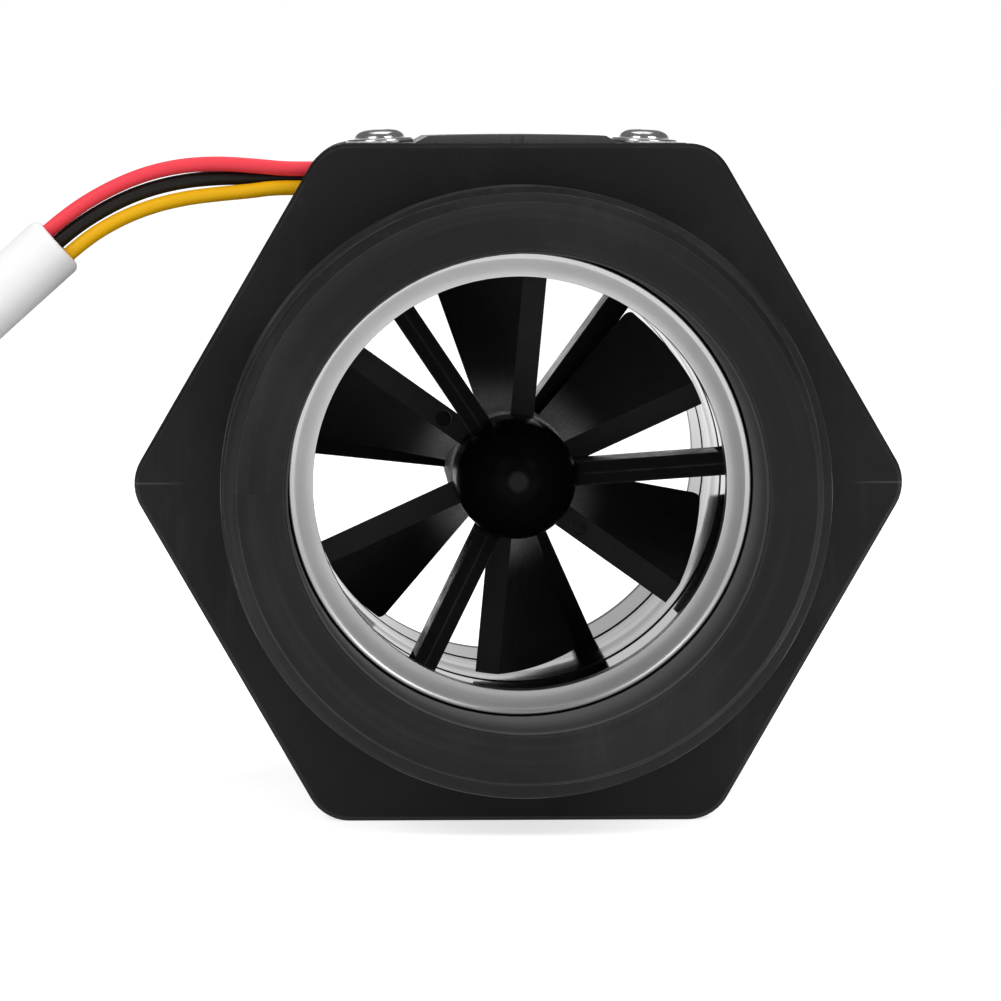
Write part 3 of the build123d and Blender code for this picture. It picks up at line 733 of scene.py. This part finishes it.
SHAFT_STEEL = TurnedMetal("shaft_steel", grey(0.60, 0.59), grey(0.48, 0.47), 0.18)
BEARING_BRASS = TurnedMetal("bearing_brass", (0.66, 0.49, 0.22), (0.48, 0.34, 0.14), 0.26)
SCREW_PLATE = PlatedMetal("screw_plate", grey(0.70, 0.705), grey(0.34, 0.35), 0.12)
MAGNET_SEAL = PlatedMetal("magnet_seal", grey(0.026, 0.0265), grey(0.018), 0.5)
CONTACT_TIN = PlatedMetal("contact_tin", (0.66, 0.63, 0.55), (0.50, 0.46, 0.36), 0.28)
WHITE_SKIN = CableSkin("white_jacket", grey(0.95, 0.955), grey(0.90), 0.42, dust=0.02)
WIRE_FINISH = {
    Wire.RED: CableSkin(
        "red_insulation", (0.95, 0.062, 0.088), (0.88, 0.055, 0.078), 0.38, dust=0.015,
    ),
    Wire.BLACK: CableSkin(
        "black_insulation", (0.0085, 0.0078, 0.0065), (0.014, 0.013, 0.011), 0.42, dust=0.01,
    ),
    Wire.YELLOW: CableSkin(
        "yellow_insulation", (0.86, 0.46, 0.0015), (0.78, 0.40, 0.002), 0.38, dust=0.01,
    ),
}

# CAD nodes that keep their own shape. The other nodes are replaced by pieces made below.
NODE_FINISH: dict[str, Finish] = {
    "cable_end_sleeve": WHITE_SKIN,
    "cable_plug": PLUG_NYLON,
    "plug_contacts": CONTACT_TIN,
    "rear_sleeve": OUTLET_STEEL,
    "liner_tube": BORE_STEEL,
    "turbine_wheel": ROTOR_ACETAL,
    "turbine_shaft": SHAFT_STEEL,
    "wheel_magnets": MAGNET_SEAL,
    "sensor_cover": COVER_NYLON,
    "cover_gasket": SEAL_RUBBER,
    "wire_exit_block": SEAL_RUBBER,
    "circuit_board": BOARD_LACQUER,
    "sensing_element": CHIP_RESIN,
    "board_chips": CHIP_RESIN,
}
PAIR_FINISH = {
    "bearing_carrier": CARRIER_ACETAL,
    "bush": BEARING_BRASS,
    "thrust_washer": BEARING_PLASTIC,
    "seal_ring": SEAL_RUBBER,
}
for _end in ("front", "rear"):
    NODE_FINISH |= {f"{_end}_{kind}": finish for kind, finish in PAIR_FINISH.items()}


class Dresser:
    """Gives pieces their finishes, building each material once."""

    def __init__(self) -> None:
        """Builds the shared effects."""
        self.effects = SharedEffects()
        self.made: dict[str, bpy.types.Material] = {}

    def material(self, finish: Finish) -> bpy.types.Material:
        """The material of a finish, made on its first use."""
        if finish.name not in self.made:
            self.made[finish.name] = finish.build(self.effects)
        return self.made[finish.name]

    def node(self, name: str, finish: Finish) -> None:
        """Dresses a CAD node that keeps its shape."""
        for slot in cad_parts[name].material_slots:
            slot.material = self.material(finish)
        log.info("node %s dressed in %s", name, finish.name)

    def piece(self, piece: Piece, finish: Finish, slot: str, replaced: Sequence[str]) -> None:
        """Dresses a new piece that rides on the housing.

        Args:
            piece: the new object.
            finish: its finish.
            slot: name of a material slot; not used.
            replaced: CAD nodes that it stands for.
        """
        piece.data.materials.clear()
        piece.data.materials.append(self.material(finish))
        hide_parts(*replaced)
        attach(piece, HOUSING)
        log.info("piece %s dressed in %s", piece.name, finish.name)

    def wire(self, piece: Piece, wire: Wire, replaced: str) -> None:
        """Dresses a new piece of one wire in its own insulation."""
        self.piece(piece, WIRE_FINISH[wire], f"{wire.value}_insulation", [replaced])


@dataclass
class PhotographView:
    """The camera, at the photograph's distance and angle, aimed by the centre of the inlet face."""

    lens: float = 243.7
    sensor_width: float = 36.0
    distance: float = 0.656
    yaw_degrees: float = 2.257
    pitch_degrees: float = 3.256
    face_right: float = 0.00266
    face_up: float = 0.00063
    face_centre: Point = (0.0, -0.05, AXIS_HEIGHT)

    def build(self) -> Piece:
        """Makes the camera and puts it in use.

        Returns:
            The camera object.
        """
        yaw, pitch = math.radians(self.yaw_degrees), math.radians(self.pitch_degrees)
        level = math.cos(pitch)
        forward = Vector((math.sin(yaw) * level, math.cos(yaw) * level, -math.sin(pitch)))
        right = Vector((math.cos(yaw), -math.sin(yaw), 0.0))
        up = right.cross(forward)
        data = bpy.data.cameras.new("photograph_view")
        data.lens, data.sensor_width = self.lens, self.sensor_width
        data.clip_start, data.clip_end = 0.01, 100.0
        camera = linked("photograph_view", data)
        camera.rotation_mode = "QUATERNION"
        camera.rotation_quaternion = Matrix((right, up, -forward)).transposed().to_quaternion()
        offset = forward * self.distance + right * self.face_right + up * self.face_up
        camera.location = Vector(self.face_centre) - offset
        bpy.context.scene.camera = camera
        log.info("camera %.3f m from the inlet face", self.distance)
        return camera


@dataclass
class Studio:
    """Plain pale floor, white surroundings and soft lamps.

    The lamps' watts and sizes and the surroundings' levels were fitted to the photo's tones.
    """

    floor_size: float = 60.0
    floor_glow: float = 0.72
    ambient: float = 0.50
    ceiling_shade: float = 0.62
    key_watts: float = 3.4
    fill_watts: float = 2.9
    top_watts: float = 1.2

    def build(self) -> None:
        """Sets the world, the floor and the lamps."""
        self._world()
        self._floor()
        self._lamp("key_lamp", (0.52, -0.62, 0.62), 0.45, self.key_watts)
        self._lamp("fill_lamp", (-0.52, -0.62, 0.62), 0.45, self.fill_watts)
        self._lamp("top_lamp", (0.0, 0.25, 0.85), 0.50, self.top_watts)
        bpy.context.scene.view_settings.view_transform = "Standard"
        log.info("studio set")

    @staticmethod
    def _seen(bench: NodeBench, gloss: Value = 1.0) -> Socket:
        """One for rays that show the surroundings: from the camera, or by gloss or glass.

        Args:
            bench: where to add the nodes.
            gloss: share that gloss shows, which may vary with direction.

        Returns:
            The share of the white surroundings that a ray sees.
        """
        rays = bench.add("ShaderNodeLightPath").outputs
        glossy = bench.times(rays["Is Glossy Ray"], gloss)
        direct = bench.plus(rays["Is Camera Ray"], glossy)
        return bench.plus(direct, rays["Is Transmission Ray"], clamp=True)

    def _world(self) -> None:
        """White surroundings under a dim ceiling, at a lower level for the light they give."""
        world = bpy.data.worlds.new("studio_world")
        world.use_nodes = True
        world.node_tree.nodes.clear()
        bench = NodeBench(world.node_tree)
        background = bench.add("ShaderNodeBackground")
        background.inputs["Color"].default_value = (1.0, 1.0, 1.0, 1.0)
        direction = bench.parts(bench.add("ShaderNodeTexCoord").outputs["Generated"])
        below_ceiling = bench.fall(direction["Z"], low=0.08, high=0.35)
        lit = bench.times(self._seen(bench, below_ceiling), 1.0 - self.ambient)
        glossy = bench.add("ShaderNodeLightPath").outputs["Is Glossy Ray"]
        in_ceiling = bench.times(bench.minus(1.0, below_ceiling), glossy)
        shade = bench.times(in_ceiling, self.ambient * self.ceiling_shade)
        level = bench.minus(bench.plus(lit, self.ambient), shade)
        bench.feed(background.inputs["Strength"], level)
        output = bench.add("ShaderNodeOutputWorld")
        bench.feed(output.inputs["Surface"], background.outputs["Background"])
        bpy.context.scene.world = world

    def _floor(self) -> None:
        """Large pale floor that reads as white where nothing shades it."""
        half = self.floor_size / 2
        mesh = bpy.data.meshes.new("studio_floor")
        corners = [(-half, -half, 0), (half, -half, 0), (half, half, 0), (-half, half, 0)]
        mesh.from_pydata(corners, [], [(0, 1, 2, 3)])
        floor = linked("studio_floor", mesh)
        material, bench, inputs = new_material("pale_floor")
        inputs["Base Color"].default_value = (0.80, 0.80, 0.80, 1.0)
        inputs["Roughness"].default_value = 0.9
        inputs["Specular IOR Level"].default_value = 0.0
        inputs["Emission Color"].default_value = (1.0, 1.0, 1.0, 1.0)
        bench.feed(inputs["Emission Strength"], bench.times(self._seen(bench), self.floor_glow))
        mesh.materials.append(material)

    @staticmethod
    def _lamp(name: str, place: Point, size: float, watts: float) -> None:
        """Square soft lamp aimed at the middle of the body."""
        data = bpy.data.lights.new(name, "AREA")
        data.size, data.energy = size, watts
        lamp = linked(name, data)
        lamp.location = place
        aim = Vector((0.0, 0.0, AXIS_HEIGHT)) - lamp.location
        lamp.rotation_mode = "QUATERNION"
        lamp.rotation_quaternion = aim.to_track_quat("-Z", "Y")


@dataclass
class SignalCable:
    """The three free wires, the white cable with its coil, and the plug on its end.

    The routes are in millimetres, as in the CAD source, and the diameters in metres.
    """

    wire_diameter: float = 0.0015
    cable_diameter: float = 0.0066
    mouth: Point = (-46.1, -18.9, 57.6)
    heading: Point = (-0.743, 0.0, -0.669)
    sleeve_length: float = 9.0
    grip_depth: float = 3.5
    lane_pitch: float = 1.6
    coil_centre: tuple[float, float] = (-112.0, 12.0)
    coil_first_radius: float = 30.4
    coil_pitch: float = 6.8
    coil_turns: float = 1.75
    points_per_turn: int = 16
    lying_height: float = 3.3
    tail_length: float = 24.0
    lead_length: float = 12.0

    def build(self, dresser: Dresser) -> None:
        """Lays every cord."""
        for wire in Wire:
            self._lay_wire(wire, dresser)
        self._lay_cable(dresser)

    def _along(self, distance: float, across: float = 0.0) -> Point:
        """Point so far into the cable's end from its mouth, and so far across."""
        x, y, z = self.mouth
        heading_x, _, heading_z = self.heading
        return (
            x + distance * heading_x + across * heading_z,
            y,
            z + distance * heading_z - across * heading_x,
        )

    def _route(self, wire: Wire) -> list[Point]:
        """Points of a free wire, from the body's sloping face into the cable."""
        if wire is Wire.RED:
            start, lane = (-21.318, -19.5, 65.04), self.lane_pitch
            middle = [
                (-25.8, -19.4, 65.3), (-29.9, -19.2, 65.6), (-34.0, -19.15, 65.35),
                (-38.0, -19.15, 64.35), (-42.0, -19.2, 62.5), (-45.5, -19.2, 60.2),
            ]
        elif wire is Wire.BLACK:
            start, lane = (-21.836, -18.2, 64.1), 0.0
            middle = [
                (-26.0, -18.25, 64.15), (-29.9, -18.45, 64.15), (-33.9, -18.6, 63.75),
                (-37.9, -18.6, 62.7), (-41.6, -18.55, 60.95), (-45.0, -18.6, 58.7),
            ]
        else:
            start, lane = (-22.426, -19.5, 63.12), -self.lane_pitch
            middle = [
                (-26.6, -19.35, 62.8), (-29.9, -19.25, 62.5), (-33.2, -19.2, 62.1),
                (-36.6, -19.15, 61.3), (-40.0, -19.2, 59.95), (-43.4, -19.2, 57.9),
            ]
        straight_out = (start[0] - 2.0, start[1], start[2])
        ends = [self._along(self.grip_depth, lane), self._along(self.sleeve_length, lane)]
        return [start, straight_out, *middle, *ends]

    @staticmethod
    def _cord(name: str, points: Sequence[Point], diameter: float) -> Piece:
        """Round cord on a smooth curve.

        Args:
            name: name of the piece.
            points: control points of its line, in metres.
            diameter: thickness of the cord.

        Returns:
            The curve object.
        """
        curve = bpy.data.curves.new(name, "CURVE")
        curve.dimensions = "3D"
        curve.resolution_u = 8
        curve.bevel_depth = diameter / 2
        curve.bevel_resolution = 6
        curve.use_fill_caps = True
        spline = curve.splines.new("NURBS")
        spline.points.add(len(points) - 1)
        for control, point in zip(spline.points, points):
            control.co = (*point, 1.0)
        spline.order_u = 3
        spline.use_endpoint_u = True
        return linked(name, curve)

    def _lay_wire(self, wire: Wire, dresser: Dresser) -> None:
        """Lays one free wire from the exit block into the cable's end."""
        name = f"{wire.value}_wire"
        points = in_metres(self._route(wire))
        cord = self._cord(f"{name}_run", points, self.wire_diameter)
        dresser.wire(cord, wire, name)
        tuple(points[0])

    def _coil_points(self) -> list[Point]:
        """Points of the coil's turns, clockwise from above and outward, settling onto the floor."""
        points = []
        first_lift, lifted_points = 1.9, 3
        centre_x, centre_y = self.coil_centre
        for step in range(1, round(self.coil_turns * self.points_per_turn) + 1):
            turned = step / self.points_per_turn
            angle = math.radians(-90 - 360 * turned)
            radius = self.coil_first_radius + self.coil_pitch * turned
            lift = max(0.0, first_lift * (1 - step / lifted_points))
            points.append((
                centre_x + radius * math.cos(angle),
                centre_y + radius * math.sin(angle),
                self.lying_height + lift,
            ))
        return points

    def _lay_cable(self, dresser: Dresser) -> None:
        """Lays the white cable down to the floor, through its coil and to the plug."""
        y = self.mouth[1]
        down = [
            self._along(self.sleeve_length), self._along(self.sleeve_length + 11.5),
            (-69.7, y, 30.9), (-79.0, y, 19.3), (-91.0, y, 11.9),
            (-104.0, y + 0.2, 8.4), (-113.5, y + 0.4, 6.2),
        ]
        coil = self._coil_points()
        end_x, end_y = coil[-1][0], self.coil_centre[1] - self.tail_length
        halfway = end_y + self.tail_length / 2
        tail = [(end_x, station, self.lying_height) for station in (halfway, end_y)]
        points = in_metres([*down, *coil, *tail])
        cord = self._cord("white_cable_run", points, self.cable_diameter)
        dresser.piece(cord, WHITE_SKIN, "white_jacket", ["white_cable", "cable_coil", "coil_tail"])
        leads = self._plug_leads(dresser, end_x, end_y)
        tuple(points[0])

    def _plug_leads(self, dresser: Dresser, end_x: float, end_y: float) -> list[Piece]:
        """Short wires from the cable's end into the plug.

        Args:
            dresser: gives the finishes.
            end_x: X of the cable's end.
            end_y: Y of the cable's end.

        Returns:
            The three leads.
        """
        leads = []
        for index, wire in enumerate(Wire):
            x = end_x + (index - 1) * self.lane_pitch
            steps = [end_y - self.lead_length * share / 4 for share in range(5)]
            points = in_metres([(x, step, self.lying_height) for step in steps])
            lead = self._cord(f"plug_lead_{wire.value}", points, self.wire_diameter)
            dresser.wire(lead, wire, "plug_leads")
            leads.append(lead)
        return leads


@dataclass
class ThreadedBody:
    """The moulded hexagonal body, with the turns of the pipe thread cut on both ends."""

    crest_radius: float = 0.0298
    thread_depth: float = 0.00148
    pitch: float = 0.002309
    face_y: float = 0.050
    shoulder_y: float = 0.030
    lead_chamfer: float = 0.0016
    relief_width: float = 0.0016
    tuck: float = 0.0004
    segments: int = 180
    steps_per_pitch: int = 12

    def build(self, dresser: Dresser) -> None:
        """Makes the body in place of its CAD node."""
        work = copy_of_node("body_housing")
        self._cut_away_plain_ends(work)
        for end in End:
            self._thread(work, end)
        body = object_from_bmesh("threaded_body", work, 28.0)
        dresser.piece(body, BODY_NYLON, "black_nylon", ["body_housing"])

    def _cut_away_plain_ends(self, work: MeshWork) -> None:
        """Takes off the plain outer skin of the pipe ends."""
        margin = 1e-5
        least_radius = self.crest_radius - self.lead_chamfer - margin
        skin = [
            face for face in work.faces
            if abs(face.normal.y) < 0.9
            and all(abs(v.co.y) > self.shoulder_y - margin for v in face.verts)
            and all(from_axis(v.co) > least_radius for v in face.verts)
        ]
        bmesh.ops.delete(work, geom=skin, context="FACES")

    def _radius_at(self, depth: float, turn: float) -> float:
        """Radius of the threaded skin.

        Args:
            depth: distance in from the end face.
            turn: share of a turn round the axis.

        Returns:
            The radius there.
        """
        root_radius = self.crest_radius - self.thread_depth
        phase = (depth / self.pitch + turn) % 1.0
        flank = 1.0 - abs(2.0 * phase - 1.0)
        rounded = flank * flank * (3.0 - 2.0 * flank)
        straight = min(1.0, max(0.0, (flank - 0.14) / 0.72))
        radius = self.crest_radius - self.thread_depth * (0.35 * rounded + 0.65 * straight)
        left = self.face_y - self.shoulder_y - depth
        if left < self.relief_width + self.pitch:
            fade = min(1.0, (self.relief_width + self.pitch - left) / self.pitch)
            radius += (root_radius - radius) * fade
        return min(radius, self.crest_radius - self.lead_chamfer + depth)

    def _thread(self, work: MeshWork, end: End) -> None:
        """Adds the threaded skin of one pipe end, tucked in behind both its neighbours."""
        side, hidden = end.value, 1e-5
        length = self.face_y - self.shoulder_y
        count = round(length / self.pitch * self.steps_per_pitch)
        inner = self.crest_radius - self.lead_chamfer - self.tuck
        outer = self.crest_radius + self.tuck
        rings = [bore_ring(side * (self.face_y - hidden), self.segments, lambda turn: inner)]
        for step in range(count + 1):
            depth = length * step / count
            ring = bore_ring(
                side * (self.face_y - depth), self.segments,
                lambda turn: self._radius_at(depth, side * turn),
            )
            rings.append(ring)
        station = side * (self.shoulder_y - hidden)
        rings.append(bore_ring(station, self.segments, lambda turn: outer))
        lathe(work, rings)


@dataclass
class CoverScrews:
    """Two pan-headed cross-recess screws on rolled washers, leaning out with the cover's crown."""

    seat_x: float = 0.0135
    seat_y: float = -0.012
    seat_z: float = 0.06757
    lean_degrees: float = 2.669
    washer_radius: float = 0.00342
    washer_thickness: float = 0.0005
    washer_round: float = 0.00026
    shank_radius: float = 0.00145
    shank_reach: float = 0.0086
    head_radius: float = 0.0026
    head_height: float = 0.00092
    recess_reach: float = 0.00125
    recess_half_width: float = 0.00026
    recess_depth: float = 0.0006
    recess_turn_degrees: float = 31.0
    segments: int = 96
    head_rings: int = 40

    def build(self, dresser: Dresser) -> None:
        """Makes both heads and both washers in place of the CAD ones."""
        heads, washers = bmesh.new(), bmesh.new()
        for side in (-1, 1):
            seat = Matrix.Translation((side * self.seat_x, self.seat_y, self.seat_z))
            seat = seat @ Matrix.Rotation(math.radians(side * self.lean_degrees), 4, "Y")
            self._head(heads, seat)
            self._washer(washers, seat)
        made = (
            ("cover_screw_heads", heads, "cover_screws"),
            ("cover_screw_washers", washers, "screw_washers"),
        )
        for name, work, node in made:
            dresser.piece(object_from_bmesh(name, work, 40.0), SCREW_PLATE, "screw_steel", [node])

    def _circle(
        self, seat: Matrix, radius: float, height: Callable[[float, float], float]
    ) -> list[Vector]:
        """Ring of points round a screw, each at the height of its place."""
        points = []
        for index in range(self.segments):
            angle = FULL_TURN * index / self.segments
            x, y = radius * math.cos(angle), radius * math.sin(angle)
            points.append(seat @ Vector((x, y, height(x, y))))
        return points

    def _washer(self, work: MeshWork, seat: Matrix) -> None:
        """Adds a washer whose upper edge is rolled over."""
        hole, top, curl = self.shank_radius + 0.00005, self.washer_thickness, self.washer_round
        rim, broken_edge, curl_steps = self.washer_radius, 0.00004, 6
        section = [(hole, 0.0), (rim - broken_edge, 0.0), (rim, broken_edge)]
        for step in range(curl_steps + 1):
            angle = math.pi / 2 * step / curl_steps
            section.append((rim - curl * (1 - math.cos(angle)), top - curl * (1 - math.sin(angle))))
        section.append((hole, top))
        rings = [self._circle(seat, radius, lambda x, y, z=z: z) for radius, z in section]
        added = lathe(work, [*rings, rings[0]])
        verts = list({vert for face in added for vert in face.verts})
        bmesh.ops.remove_doubles(work, verts=verts, dist=1e-7)

    def _crown(self, radius: float) -> float:
        """Height of the head over its foot at a radius: a flat top with steep round sides."""
        share = min(1.0, radius / self.head_radius)
        return self.head_height * (1 - share**4) ** 0.62

    def _recess(self, x: float, y: float) -> float:
        """Share of the full recess depth at a place on the head."""
        deepest, draft, ramp = 0.0, 0.00012, 0.00045
        for along, across in ((x, y), (y, x)):
            inside = min(1.0, max(0.0, (self.recess_half_width + 0.00008 - abs(across)) / draft))
            reach = min(1.0, max(0.0, (self.recess_reach - abs(along)) / ramp))
            deepest = max(deepest, inside * reach)
        return deepest

    def _head(self, work: MeshWork, seat: Matrix) -> None:
        """Adds one head and its shank."""
        foot, last = self.washer_thickness, self.head_rings - 1
        turn = Matrix.Rotation(math.radians(self.recess_turn_degrees), 2)
        rings = [
            self._circle(seat, self.shank_radius, lambda x, y: -self.shank_reach),
            self._circle(seat, self.shank_radius, lambda x, y: foot),
        ]
        for step in range(self.head_rings):
            radius = self.head_radius * math.sin(math.pi / 2 * (1 - step / last)) + 1e-7

            def height(x: float, y: float, radius: float = radius) -> float:
                """Height of the head with its recess at a place."""
                along, across = turn @ Vector((x, y))
                return foot + self._crown(radius) - self.recess_depth * self._recess(along, across)

            rings.append(self._circle(seat, radius, height))
        lathe(work, rings)


@dataclass
class InletSleeve:
    """Steel sleeve of the inlet, its lip spun to a shallow dish inside a rolled outer bead.

    Radii, depths behind the inlet face and heights are in millimetres.
    """

    face_y: float = -0.050
    wall_radius: float = 21.3
    outer_radius: float = 22.3
    lip_inner_radius: float = 20.6
    lip_outer_radius: float = 23.0
    lip_depth: float = 18.0
    lip_length: float = 2.4
    mouth_depth: float = 21.5
    back_depth: float = 35.8
    flat_width: float = 0.5
    dish_depth: float = 0.014
    bead_rise: float = 0.12
    bead_start: float = 22.42
    bead_crest: float = 22.88
    segments: int = 256

    def build(self, dresser: Dresser) -> None:
        """Makes the sleeve in place of its CAD node."""
        work = bmesh.new()
        rings = []
        for radius, depth in self._profile():
            reach, station = radius * MILLIMETRE, self.face_y + depth * MILLIMETRE
            rings.append(bore_ring(station, self.segments, lambda turn: reach))
        lathe(work, [*rings, rings[0]])
        bmesh.ops.remove_doubles(work, verts=work.verts, dist=1e-7)
        sleeve = object_from_bmesh("inlet_sleeve", work, 38.0)
        dresser.piece(sleeve, LIP_STEEL, "stainless", ["front_sleeve"])

    def _profile(self) -> list[Station]:
        """Section of the sleeve as radius and depth, from the wall round to its back."""
        inner, outer = self.lip_inner_radius, self.lip_outer_radius
        step_depth = self.lip_depth + self.lip_length
        foot, crest = self.lip_depth + self.dish_depth, self.lip_depth - self.bead_rise
        return [
            (self.wall_radius, self.back_depth),
            (self.wall_radius, step_depth + self.wall_radius - inner),
            (inner, step_depth),
            (inner, self.lip_depth + 0.12),
            (inner + 0.035, self.lip_depth + 0.035),
            (inner + 0.12, self.lip_depth),
            *self._swell(inner + self.flat_width, self.lip_depth, self.bead_start, foot),
            *self._swell(self.bead_start, foot, self.bead_crest, crest),
            (outer - 0.06, crest + 0.005),
            (outer - 0.015, crest + 0.025),
            (outer, crest + 0.07),
            (outer, self.mouth_depth),
            (self.outer_radius, self.mouth_depth),
            (self.outer_radius, self.back_depth),
        ]

    @staticmethod
    def _swell(radius: float, depth: float, to_radius: float, to_depth: float) -> list[Station]:
        """Soft step of the section from one radius and depth to the next."""
        points, steps = [], 8
        wider, deeper = to_radius - radius, to_depth - depth
        for step in range(1, steps + 1):
            share = step / steps
            eased = (1 - math.cos(math.pi * share)) / 2
            points.append((radius + wider * share, depth + deeper * eased))
        return points


def islands_from_top(work: MeshWork) -> list[set[bmesh.types.BMVert]]:
    """Separate pieces of a mesh as sets of vertices, the one that reaches highest first."""
    islands: list[set[bmesh.types.BMVert]] = []
    left = set(work.verts)
    while left:
        stack, island = [left.pop()], set()
        while stack:
            vert = stack.pop()
            island.add(vert)
            for edge in vert.link_edges:
                other = edge.other_vert(vert)
                if other in left:
                    left.discard(other)
                    stack.append(other)
        islands.append(island)
    return sorted(islands, key=lambda island: -max(vert.co.z for vert in island))


def build_board_leads(dresser: Dresser) -> None:
    """Splits the board's leads by wire and dresses each in its own colour."""
    for index, wire in enumerate(Wire):
        work = copy_of_node("board_leads")
        keep = islands_from_top(work)[index]
        others = [vert for vert in work.verts if vert not in keep]
        bmesh.ops.delete(work, geom=others, context="VERTS")
        dresser.wire(object_from_bmesh(f"board_lead_{wire.value}", work), wire, "board_leads")


def main() -> None:
    """Builds the view and every sub-assembly in order."""
    logging.basicConfig(level=logging.INFO, format="%(name)s: %(message)s")
    PhotographView().build()
    dresser = Dresser()
    SignalCable().build(dresser)
    Studio().build()
    ThreadedBody().build(dresser)
    InletSleeve().build(dresser)
    CoverScrews().build(dresser)
    build_board_leads(dresser)
    for name, finish in NODE_FINISH.items():
        dresser.node(name, finish)


if __name__ == "__main__":
    main()
